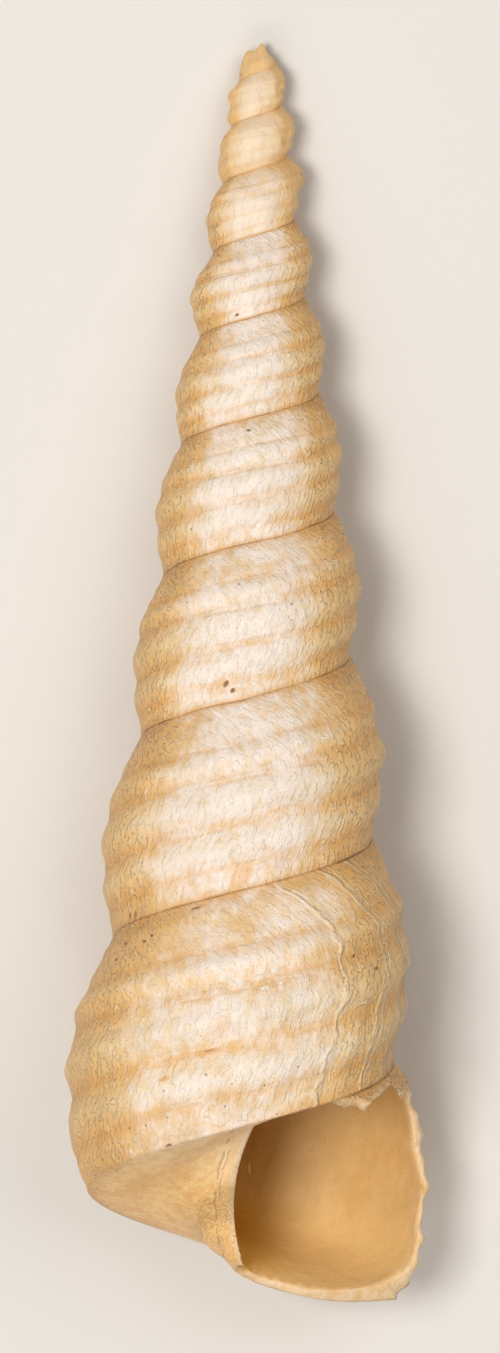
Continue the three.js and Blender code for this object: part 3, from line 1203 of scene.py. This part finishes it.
@dataclass(frozen=True)
class MouthFinish:
    """Colours of the inside of the mouth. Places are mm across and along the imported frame."""

    lit: Colour = (0.72, 0.43, 0.15)
    pale: Colour = (0.77, 0.48, 0.19)
    deep: Colour = (0.66, 0.37, 0.11)
    deep_strength: float = 0.35
    # Painted light: the bottom of the inside, which lies in shade, is painted brighter.
    bright: Colour = (0.87, 0.56, 0.22)
    painted_light_along: Pair = (-26.5, -30.5)
    # Painted shadow: the left of the inside, in the inner lip's shadow, is painted dark brown.
    painted_shadow: Colour = (0.60, 0.28, 0.03)
    painted_shadow_across: Pair = (3.2, -0.4)
    scratch: Layer = Layer((0.98, 0.66, 0.27), 0.6)
    scratch_at: Triple = (0.20, -25.85, 0.0)
    scratch_size: Triple = (0.05, 0.26, 1.0)
    rim_strength: float = 0.6
    grain_height: float = 0.012
    mottle_height: float = 0.05
    cloud_height: float = 0.12
    roughness: float = 0.40
    mottle_roughness: float = 0.12
    specular: float = 0.3


@dataclass(frozen=True)
class EdgeFinish:
    """Colours of the broken edge of the lip."""

    pale: Colour = (0.84, 0.59, 0.33)
    pink: Colour = (0.75, 0.46, 0.20)
    worn: Colour = (0.88, 0.77, 0.68)
    worn_strength: float = 0.2
    inward: Colour = (0.77, 0.48, 0.19)
    inward_strength: float = 0.55
    layer_stretch: Triple = (1.0, 1.0, 3.0)
    layer_height: float = 0.06
    grain_height: float = 0.03
    roughness: float = 0.35
    grain_roughness: float = 0.2


@dataclass
class WallCoat:
    """The coat of the outer wall, laid on layer by layer: its colour and its relief."""

    looks: "Looks"
    n: Nodes
    have: Sockets
    heights: list[Socket] = field(default_factory=list)

    def __post_init__(self) -> None:
        """Lays on the bands, and works out the masks that several layers read."""
        n, have, finish = self.n, self.have, self.looks.wall
        self.finish = finish
        self.turn, self.share = n.add("ShaderNodeSeparateXYZ", {0: have["whorl"]}).outputs[:2]
        self.around = n.vector("MULTIPLY", have["growth"], finish.band_stretch)
        wave = n.swing(self.around, scale=1.0, detail=3.0, roughness=0.55)
        self.bent = n.scaled(wave, finish.band_wave, self.share)
        # Painted highlight mask: 1 on the front that faces the lamps, 0 on the flanks.
        self.highlight_side = self.painted_highlight_side()
        self.grown = n.spread(self.turn, *finish.banded_turns)
        self.on_base = n.spread(self.share, *finish.base_shares)
        self.ragged = n.swing(have["mm"], scale=6.0, detail=3.0, roughness=0.6)
        self.rough = n.times(
            n.spread(self.highlight_side, 0.0, 0.8, 1.0, finish.smoothest),
            n.spread(self.share, 1.0, 1.1, 1.0, finish.smoothest),
            self.more_when_grown(finish.smooth_tip),
        )
        self.colour = n.ramp(self.bent, finish.bands)
        self.tint(n.spread(self.grown, 0.0, 1.0, finish.plainness, 0.0), finish.plain)

    def painted_highlight_side(self) -> Socket:
        """Returns 1 on the front of the shell, where the highlight is painted, falling to 0 on its flanks.
        """
        n, line = self.n, self.looks.line
        behind = n.spread(self.share, 0.0, line.deepest, 0.0, line.depth)
        ahead = n.spread(self.share, line.deepest, line.end, 0.0, line.depth - line.foot)
        lag = n.math("SUBTRACT", behind, ahead)
        round_by = n.total([self.turn, lag, self.finish.highlight_at], "SUBTRACT")
        return n.spread(n.math("COSINE", n.times(round_by, TURN)), *self.finish.highlight_cosines)

    def more_when_grown(self, at_tip: float) -> Socket:
        """Returns 1 on the grown whorls, falling to a value at the worn tip."""
        return self.n.spread(self.grown, 0.0, 1.0, at_tip, 1.0)

    def tint(self, mask: Feed, colour: Feed) -> None:
        """Lays a colour on where the mask is."""
        self.colour = self.n.mix(mask, self.colour, colour)

    def lift(self, mask: Feed, height: float) -> None:
        """Raises the surface by a height in mm where the mask is."""
        self.heights.append(self.n.times(mask, height))

    def lay(self, mask: Feed, layer: Layer) -> None:
        """Lays on the colour and the relief of a layer."""
        self.tint(self.n.times(mask, layer.strength), layer.colour)
        if layer.height:
            self.lift(mask, layer.height)

    def base_and_callus(self) -> None:
        """Lays on the base, and the callus with its cracked edge beside the inner lip."""
        n, have, finish = self.n, self.have, self.finish
        mottle = have["Mottle"]
        patches = n.total([n.times(mottle, 0.6), n.times(have["Cloud"], 0.4)])
        base = n.mix(n.spread(patches, 0.42, 0.58), finish.base, finish.base_pale)
        base = n.mix(n.spread(self.share, *finish.callus_shares), base, finish.callus)
        beside = n.add("ShaderNodeAttribute", {}, attribute_name="beside_lip").outputs["Fac"]
        beside = n.scaled(n.math("SUBTRACT", mottle, 0.5), 0.5, beside)
        base = n.mix(n.spread(beside, *finish.callus_beside), base, finish.callus)
        base = n.mix(n.spread(beside, *finish.lip_rim_beside, 0.0, 0.8), base, finish.lip_rim)
        self.tint(self.on_base, base)
        broken = n.spread(n.noise(have["mm"], scale=1.4, detail=1.0), 0.46, 0.56)
        self.lay(n.times(n.line(beside, *finish.fold_beside), broken, self.on_base), finish.fold)
        broken = n.spread(n.noise(have["mm"], scale=1.1, detail=2.0), 0.44, 0.54)
        edge = n.times(n.line(beside, *finish.callus_edge_beside), broken, self.on_base)
        self.lay(edge, finish.callus_edge)

    def wear(self) -> None:
        """Lays on the worn patches, laid on thicker at the front as a painted highlight, and the growth
        lines that they leave.
        """
        n, have, finish = self.n, self.have, self.finish
        cloud, mottle = have["Cloud"], have["Mottle"]
        streaks = n.vector("MULTIPLY", have["growth"], (1.0, 0.30, 1.0))
        wander = n.times(n.noise(have["mm"], scale=0.5), 1.6)
        streaks = n.vector("ADD", streaks, n.add("ShaderNodeCombineXYZ", {0: wander}).outputs[0])
        fine = n.noise(streaks, scale=3.4, detail=3.0, roughness=0.6)
        self.fine = n.add("ShaderNodeMix", {0: self.on_base, 2: fine, 3: mottle}).outputs[0]
        weighted = ((mottle, 0.46), (cloud, 0.42), (self.fine, 0.12))
        patches = n.total([n.times(value, weight) for value, weight in weighted])
        # Painted highlight: the whitish worn colour is laid on more where the shell faces the lamps.
        highlight_share = n.spread(self.turn, *finish.body_turns, finish.highlight_above, finish.highlight_on_body)
        patches = n.scaled(self.highlight_side, highlight_share, patches)
        cords = n.total([n.line(self.share, *cord) for cord in finish.worn_cords], "MAXIMUM")
        patches = n.scaled(cords, finish.cord_wear, patches)
        worn = n.spread(patches, *finish.wear_and_highlight_levels, 0.0, finish.most_worn)
        self.tint(n.times(worn, self.more_when_grown(0.5), n.rest(self.on_base)), finish.worn)
        self.lift(n.times(self.fine, self.rough), finish.fine_height)
        self.lift(n.times(n.noise(streaks, scale=1.3), self.rough), finish.coarse_height)

    def grooves_and_dashes(self) -> None:
        """Lays on the broken grooves between the cords, and the short strokes across them with a painted
        highlight on their tops and painted shade in their dips.
        """
        n, finish = self.n, self.finish
        lines = []
        for index, groove in enumerate(finish.grooves):
            lines.append(n.line(self.bent, groove, finish.groove_widths[index % 2]))
        broken = n.spread(n.noise(self.around, scale=2.2, detail=3.0), 0.38, 0.60)
        at_grooves = n.total(lines, "MAXIMUM")
        self.lay(n.times(at_grooves, broken, self.more_when_grown(finish.smooth_tip)), finish.groove)
        strokes = n.noise(n.vector("MULTIPLY", self.have["growth"], finish.dash_stretch), scale=1.6)
        # Partly painted highlight: the raised strokes are laid on lighter.
        self.lay(n.times(n.spread(strokes, 0.52, 0.63), self.rough), finish.dash)
        # Painted shade: the dips between the strokes are laid on darker.
        self.lay(n.times(n.spread(strokes, 0.48, 0.30), self.rough), finish.shaded_dip)

    def shades(self) -> None:
        """Shades the colour with grain and clouds, and paints the flanks a darker tan as painted shade."""
        n, have = self.n, self.have
        shade = n.times(
            n.spread(self.fine, 0.3, 0.7, 0.96, 1.03),
            n.spread(have["Grain"], 0.3, 0.7, 0.93, 1.05),
            n.spread(have["Cloud"], 0.3, 0.7, 0.94, 1.04),
        )
        self.colour = n.shade(self.colour, shade)
        # Painted shade: the flanks, away from the painted highlight, are multiplied to a darker tan.
        self.tint(n.rest(self.highlight_side), n.mix(1.0, self.colour, self.finish.shaded_flank, "MULTIPLY"))
        self.lift(have["Grain"], self.finish.grain_height)
        self.lift(have["Mottle"], self.finish.mottle_height)

    def ridges_and_scars(self) -> None:
        """Lays on the crowded ridges of the last growth, with a painted highlight on their tops and
        painted shade between them, and the scars where it stopped.
        """
        n, finish = self.n, self.finish
        ridges = n.noise(n.vector("MULTIPLY", self.have["whorl"], finish.crowded_stretch), scale=1.0)
        place = [n.spread(self.turn, *turns) for turns in finish.crowded_turns]
        place.append(n.spread(self.share, *finish.crowded_shares))
        # Partly painted highlight on the ridge tops, and painted shade between them.
        self.lay(n.times(n.spread(ridges, 0.46, 0.64), *place), finish.crowded_and_highlight)
        self.lay(n.times(n.spread(ridges, 0.46, 0.36), *place), finish.crowded_shaded_dip)
        wave = n.swing(self.have["growth"], scale=0.9, detail=3.0)
        wobble = n.scaled(wave, finish.scar_wobble, self.turn)
        scars = [n.line(wobble, scar.line, scar.width) for scar in finish.scars]
        for line, scar in zip(scars, finish.scars):
            self.lift(line, scar.height)
        self.lay(n.total(scars, "MAXIMUM"), finish.scar_colour)

    def marks(self) -> None:
        """Lays on stains, pits and painted glints, white spots standing in for light caught by crystal
        grains.
        """
        n, have, finish = self.n, self.have, self.finish
        spots = [
            self.looks.spots(n, have["whorl"], self.ragged, marks)
            for marks in (finish.stains, finish.pits, finish.painted_glints)
        ]
        self.lay(spots[0], finish.stain)
        self.pits = n.math("MAXIMUM", spots[1], n.times(have["Pinholes"], finish.pinholes))
        self.lay(self.pits, finish.pit)
        # Painted highlight: the glints.
        self.lay(spots[2], finish.painted_glint)

    def sutures(self) -> None:
        """Lays on the cracks of the sutures, painted darker on the flanks as painted shade, and the stain
        along them, and the rim of the mouth.
        """
        n, have, finish = self.n, self.have, self.finish
        free_from, free_to = (self.looks.growth.lip_turn + turn for turn in finish.uncovered_turns)
        covered = n.spread(self.turn, free_from, free_to, 1.0, 0.0)
        covered = n.math("MAXIMUM", covered, n.spread(self.share, 0.5, 0.4))
        near = n.math("MINIMUM", n.math("ABSOLUTE", self.share), n.math("ABSOLUTE", n.rest(self.share)))
        ragged = n.scaled(self.ragged, finish.suture_raggedness, near)
        clouds = n.noise(have["mm"], scale=0.7)
        crack = n.times(
            n.spread(ragged, *finish.suture_shares, 1.0, 0.0),
            covered,
            # Painted shade: the crack fades on the highlit front and stays darker on the flanks.
            n.spread(self.highlight_side, 0.0, 0.7, 1.0, finish.suture_on_highlight),
            n.spread(clouds, 0.36, 0.60, finish.faint_suture, 1.0),
            self.more_when_grown(finish.tip_suture),
        )
        seep = n.spread(near, 0.0, finish.seep_share, finish.seep_strength, 0.0)
        self.tint(n.times(seep, covered), finish.seep)
        self.lay(crack, finish.suture)
        rim = n.spread(have["rim"], 0.3, 0.9, 0.0, finish.rim_strength)
        self.tint(rim, self.looks.rim_colour(n, have))


@dataclass
class Looks:
    """Makes the materials of the shell and the node groups that they share."""

    growth: Growth
    line: GrowthLine
    wall: WallFinish = field(default_factory=WallFinish)
    mouth: MouthFinish = field(default_factory=MouthFinish)
    edge: EdgeFinish = field(default_factory=EdgeFinish)

    def __post_init__(self) -> None:
        """Makes the shared groups."""
        self.chalk = self.chalk_group()
        self.mark = self.mark_group()

    @staticmethod
    def group(name: str, inputs: dict[str, str], outputs: dict[str, str]) -> Group:
        """Starts a node group.

        Args:
            name: the group's name.
            inputs: socket type of each input.
            outputs: socket type of each output.

        Returns:
            The tree, and its input and output nodes.
        """
        tree = bpy.data.node_groups.new(name, "ShaderNodeTree")
        for way, sockets in (("INPUT", inputs), ("OUTPUT", outputs)):
            for socket, kind in sockets.items():
                tree.interface.new_socket(socket, in_out=way, socket_type=kind)
        return tree, tree.nodes.new("NodeGroupInput"), tree.nodes.new("NodeGroupOutput")

    def chalk_group(self) -> bpy.types.NodeTree:
        """Returns the group for chalky mineral: broad clouds, mottling, fine grain and pinholes."""
        values = {name: "NodeSocketFloat" for name in ("Cloud", "Mottle", "Grain", "Pinholes")}
        tree, given, result = self.group("chalk", {"Place": "NodeSocketVector"}, values)
        n, place = Nodes(tree), given.outputs["Place"]
        n.feed(result.inputs["Cloud"], n.noise(place, scale=0.42, detail=4.0, roughness=0.6))
        n.feed(result.inputs["Mottle"], n.noise(place, scale=1.7, detail=5.0, roughness=0.65))
        n.feed(result.inputs["Grain"], n.noise(place, scale=9.0, detail=4.0, roughness=0.7))
        cells = n.add("ShaderNodeTexVoronoi", {"Vector": place, "Scale": 1.25, "Randomness": 1.0})
        holes = n.spread(cells.outputs["Distance"], 0.02, 0.11, 1.0, 0.0)
        rare = n.spread(n.noise(place, scale=0.6, detail=1.0), 0.50, 0.58)
        n.feed(result.inputs["Pinholes"], n.times(holes, rare))
        return tree

    def mark_group(self) -> bpy.types.NodeTree:
        """Returns the group for one mark: 1 inside an oval spot with a ragged edge, 0 outside."""
        inputs = {name: "NodeSocketVector" for name in ("Place", "At", "Size")}
        inputs["Ragged"] = "NodeSocketFloat"
        tree, given, result = self.group("mark", inputs, {"Inside": "NodeSocketFloat"})
        n = Nodes(tree)
        away = n.vector("SUBTRACT", given.outputs["Place"], given.outputs["At"])
        away = n.vector("DIVIDE", away, given.outputs["Size"])
        flat = n.vector("MULTIPLY", away, (1.0, 1.0, 0.0))
        far = n.add("ShaderNodeVectorMath", {0: flat}, operation="LENGTH").outputs["Value"]
        far = n.math("ADD", far, n.times(given.outputs["Ragged"], 0.9))
        n.feed(result.inputs["Inside"], n.spread(far, 0.75, 1.5, 1.0, 0.0))
        return tree

    def spot(self, n: Nodes, place: Feed, ragged: Feed, at: Triple, size: Triple) -> Socket:
        """Returns 1 inside one oval spot.

        Args:
            n: builder of the material's tree.
            place: the place that the spot is given in.
            ragged: a cloudy value about nothing, for its ragged edge.
            at: its middle.
            size: its half width and half height.

        Returns:
            The socket of the mask.
        """
        node = n.add("ShaderNodeGroup", {}, node_tree=self.mark)
        for name, value in {"Place": place, "At": at, "Size": size, "Ragged": ragged}.items():
            n.feed(node.inputs[name], value)
        return node.outputs[0]

    def spots(self, n: Nodes, place: Feed, ragged: Feed, marks: tuple[Mark, ...]) -> Socket:
        """Returns 1 inside any of the marks.

        Args:
            n: builder of the material's tree.
            place: the place among the growth lines.
            ragged: a cloudy value about nothing, for ragged edges.
            marks: the marks.

        Returns:
            The socket of the mask.
        """
        masks = []
        for mark in marks:
            at = (mark.turn + self.line.lag(mark.share), mark.share, 0.0)
            inside = self.spot(n, place, ragged, at, (mark.wide, mark.high, 1.0))
            masks.append(n.times(inside, mark.strength))
        return n.total(masks, "MAXIMUM")

    def start(self, name: str) -> tuple[bpy.types.Material, Nodes, Sockets]:
        """Starts a material of the shell.

        Args:
            name: the material's name.

        Returns:
            The material, a builder for its tree, and the places and chalk values it may use.
        """
        material = bpy.data.materials.new(name)
        material.use_nodes = True
        n = Nodes(material.node_tree)
        place = n.add("ShaderNodeTexCoord", {}).outputs["Object"]
        inputs = {0: place, "Scale": 1 / MM}
        in_mm = n.add("ShaderNodeVectorMath", inputs, operation="SCALE").outputs[0]
        chalk = n.add("ShaderNodeGroup", {}, node_tree=self.chalk)
        n.feed(chalk.inputs["Place"], in_mm)
        have = {socket.name: socket for socket in chalk.outputs}
        have["mm"] = in_mm
        have["rim"] = n.add("ShaderNodeAttribute", {}, attribute_name="rim").outputs["Fac"]
        for layer in ("whorl", "growth"):
            have[layer] = n.add("ShaderNodeUVMap", {}, uv_map=layer).outputs[0]
        return material, n, have

    def feed_shader(
        self, n: Nodes, colour: Feed, roughness: Feed, heights: list[Socket], sheen: float = 0.0
    ) -> bpy.types.Node:
        """Feeds the shader of a material.

        Args:
            n: builder of the material's tree.
            colour: its colour.
            roughness: its roughness.
            heights: its relief in mm, in parts that add up.
            sheen: weight of the chalky sheen.

        Returns:
            The shader.
        """
        shader = n.tree.nodes["Principled BSDF"]
        inputs = {"Height": n.total(heights), "Distance": MM, "Strength": 1.0}
        n.feed(shader.inputs["Base Color"], colour)
        n.feed(shader.inputs["Roughness"], roughness)
        n.feed(shader.inputs["Normal"], n.add("ShaderNodeBump", inputs).outputs[0])
        shader.inputs["Sheen Weight"].default_value = sheen
        shader.inputs["Sheen Roughness"].default_value = 0.5
        shader.inputs["IOR"].default_value = 1.5
        return shader

    def rim_colour(self, n: Nodes, have: Sockets) -> Socket:
        """Returns the colour of the broken edge."""
        share = n.spread(n.noise(have["mm"], scale=1.0), 0.35, 0.65)
        return n.mix(share, self.edge.pink, self.edge.pale)

    def wall_material(self) -> bpy.types.Material:
        """Makes the chalky banded wall."""
        finish = self.wall
        material, n, have = self.start("shell_wall")
        coat = WallCoat(self, n, have)
        coat.base_and_callus()
        coat.wear()
        coat.grooves_and_dashes()
        coat.shades()
        coat.ridges_and_scars()
        coat.marks()
        coat.sutures()
        roughness = n.scaled(have["Grain"], finish.grain_roughness, finish.roughness)
        roughness = n.scaled(coat.pits, finish.pit_roughness, roughness)
        self.feed_shader(n, coat.colour, roughness, coat.heights, finish.sheen)
        return material

    def mouth_material(self) -> bpy.types.Material:
        """Makes the smooth satin inside of the mouth, with painted shadow at its left and painted light at
        its bottom.
        """
        finish = self.mouth
        material, n, have = self.start("shell_mouth")
        cloud, mottle, grain = have["Cloud"], have["Mottle"], have["Grain"]
        colour = n.mix(n.spread(cloud, 0.35, 0.65), finish.lit, finish.pale)
        colour = n.mix(n.spread(mottle, 0.55, 0.70, 0.0, finish.deep_strength), colour, finish.deep)
        across, along = n.add("ShaderNodeSeparateXYZ", {0: have["mm"]}).outputs[:2]
        # Painted light at the bottom of the inside.
        colour = n.mix(n.spread(along, *finish.painted_light_along), colour, finish.bright)
        # Painted shadow on the left of the inside.
        colour = n.mix(n.spread(across, *finish.painted_shadow_across), colour, finish.painted_shadow)
        colour = n.shade(colour, n.spread(grain, 0.3, 0.7, 0.96, 1.03))
        ragged = n.swing(have["mm"], scale=3.0)
        scratch = self.spot(n, have["mm"], ragged, finish.scratch_at, finish.scratch_size)
        colour = n.mix(n.times(scratch, finish.scratch.strength), colour, finish.scratch.colour)
        rim = n.spread(have["rim"], 0.2, 0.9, 0.0, finish.rim_strength)
        colour = n.mix(rim, colour, self.rim_colour(n, have))
        heights = [
            n.times(grain, finish.grain_height),
            n.times(mottle, finish.mottle_height),
            n.times(cloud, finish.cloud_height),
        ]
        roughness = n.scaled(mottle, finish.mottle_roughness, finish.roughness)
        shader = self.feed_shader(n, colour, roughness, heights)
        shader.inputs["Specular IOR Level"].default_value = finish.specular
        return material

    def edge_material(self) -> bpy.types.Material:
        """Makes the broken edge of the lip."""
        finish = self.edge
        material, n, have = self.start("shell_edge")
        place = n.vector("MULTIPLY", have["mm"], finish.layer_stretch)
        layers = n.noise(place, scale=3.0, detail=3.0, roughness=0.6)
        worn = n.spread(layers, 0.4, 0.65, 0.0, finish.worn_strength)
        colour = n.mix(worn, self.rim_colour(n, have), finish.worn)
        inward = n.spread(have["rim"], 0.1, 0.8, finish.inward_strength, 0.0)
        colour = n.mix(inward, colour, finish.inward)
        heights = [n.times(layers, finish.layer_height), n.times(have["Grain"], finish.grain_height)]
        roughness = n.scaled(have["Grain"], finish.grain_roughness, finish.roughness)
        self.feed_shader(n, colour, roughness, heights)
        return material

    def dress(self, piece: bpy.types.Object) -> None:
        """Puts the materials in the slots of the shell's parts."""
        makers = {
            Part.WALL: self.wall_material,
            Part.MOUTH: self.mouth_material,
            Part.EDGE: self.edge_material,
        }
        indices = [face.material_index for face in piece.data.polygons]
        piece.data.materials.clear()
        for part in Part:
            piece.data.materials.append(makers[part]())
        for face, index in zip(piece.data.polygons, indices):
            face.material_index = index


@dataclass(frozen=True)
class Lamp:
    """A square soft light: its place right, up and back in the view and its side, in metres."""

    name: str
    place: Triple
    size: float
    watts: float


@dataclass
class Studio:
    """Pale floor, soft lights and the camera that looks down square to the shell's axis."""

    shell: Shell
    centre_distance: float = 39.37
    centre_right: float = -0.058
    view_height: float = 67.65
    camera_distance: float = 950.0
    sensor: float = 36.0
    roll: float = 0.0114
    clip: Pair = (0.01, 10.0)
    floor_size: float = 4.0
    floor_colour: Colour = (0.74, 0.70, 0.65)
    floor_roughness: float = 0.85
    sky_colour: Colour = (1.0, 0.98, 0.95)
    sky_strength: float = 0.22
    lamps: tuple[Lamp, ...] = (
        Lamp("key", (-0.17, -0.02, 0.53), 0.18, 1.95),
        Lamp("fill", (0.34, 0.22, 0.68), 0.5, 1.75),
        Lamp("low_fill", (-0.10, -0.45, 0.35), 0.3, 0.75),
    )

    def view_frame(self) -> tuple[Vector, Vector, Vector, Vector]:
        """Returns the middle of the view and its right, up and backward directions."""
        laid = self.shell.laid()
        middle = laid @ Vector((self.centre_right, -self.centre_distance, 0))
        axis = (laid.to_3x3() @ Vector((0, 1, 0))).normalized()
        back = (laid.to_3x3() @ Vector((0, 0, 1))).normalized()
        side = Vector((1, 0, 0))
        right = side * math.cos(self.roll) + axis * math.sin(self.roll)
        up = axis * math.cos(self.roll) - side * math.sin(self.roll)
        return middle, right, up, back

    def camera(self) -> None:
        """Sets up the long lens."""
        middle, right, up, back = self.view_frame()
        data = bpy.data.cameras.new("camera")
        data.sensor_width = self.sensor
        data.lens = self.sensor * self.camera_distance / self.view_height
        data.clip_start, data.clip_end = self.clip
        made = bpy.data.objects.new("camera", data)
        turned = Matrix((right, up, back)).transposed().to_4x4()
        made.matrix_world = Matrix.Translation(middle + back * self.camera_distance * MM) @ turned
        bpy.context.scene.collection.objects.link(made)
        bpy.context.scene.camera = made

    def floor(self) -> None:
        """Lays the pale floor."""
        bm = bmesh.new()
        bmesh.ops.create_grid(bm, x_segments=1, y_segments=1, size=self.floor_size / 2)
        floor = to_object(bm, "floor")
        material = bpy.data.materials.new("pale_floor")
        material.use_nodes = True
        shader = material.node_tree.nodes["Principled BSDF"]
        shader.inputs["Base Color"].default_value = (*self.floor_colour, 1)
        shader.inputs["Roughness"].default_value = self.floor_roughness
        floor.data.materials.append(material)

    def light(self, lamp: Lamp) -> None:
        """Hangs a lamp so that it shines at the middle of the view."""
        middle, right, up, back = self.view_frame()
        data = bpy.data.lights.new(lamp.name, "AREA")
        data.size = lamp.size
        data.energy = lamp.watts
        place = right * lamp.place[0] + up * lamp.place[1] + back * lamp.place[2]
        turned = place.to_track_quat("Z", "Y").to_matrix().to_4x4()
        made = bpy.data.objects.new(lamp.name, data)
        made.matrix_world = Matrix.Translation(middle + place) @ turned
        bpy.context.scene.collection.objects.link(made)

    def sky(self) -> None:
        """Fills the room with a faint warm light."""
        world = bpy.data.worlds.new("sky")
        world.use_nodes = True
        background = world.node_tree.nodes["Background"]
        background.inputs["Color"].default_value = (*self.sky_colour, 1)
        background.inputs["Strength"].default_value = self.sky_strength
        bpy.context.scene.world = world

    def build(self) -> None:
        """Sets up camera, floor, lights and sky."""
        self.camera()
        self.floor()
        for lamp in self.lamps:
            self.light(lamp)
        self.sky()
        bpy.context.scene.view_settings.view_transform = "Standard"


def main() -> None:
    """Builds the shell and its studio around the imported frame."""
    logging.basicConfig(level=logging.INFO, format="%(name)s: %(message)s")
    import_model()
    shell = Shell()
    Studio(shell).build()
    LOG.info("studio: camera, floor and lights")
    piece = shell.build()
    Looks(shell.growth, shell.line).dress(piece)
    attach(piece, "root")
    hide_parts(NODE)
    triangles = sum(len(face.vertices) - 2 for face in piece.data.polygons)
    LOG.info("%s: %d triangles", piece.name, triangles)


if __name__ == "__main__":
    main()
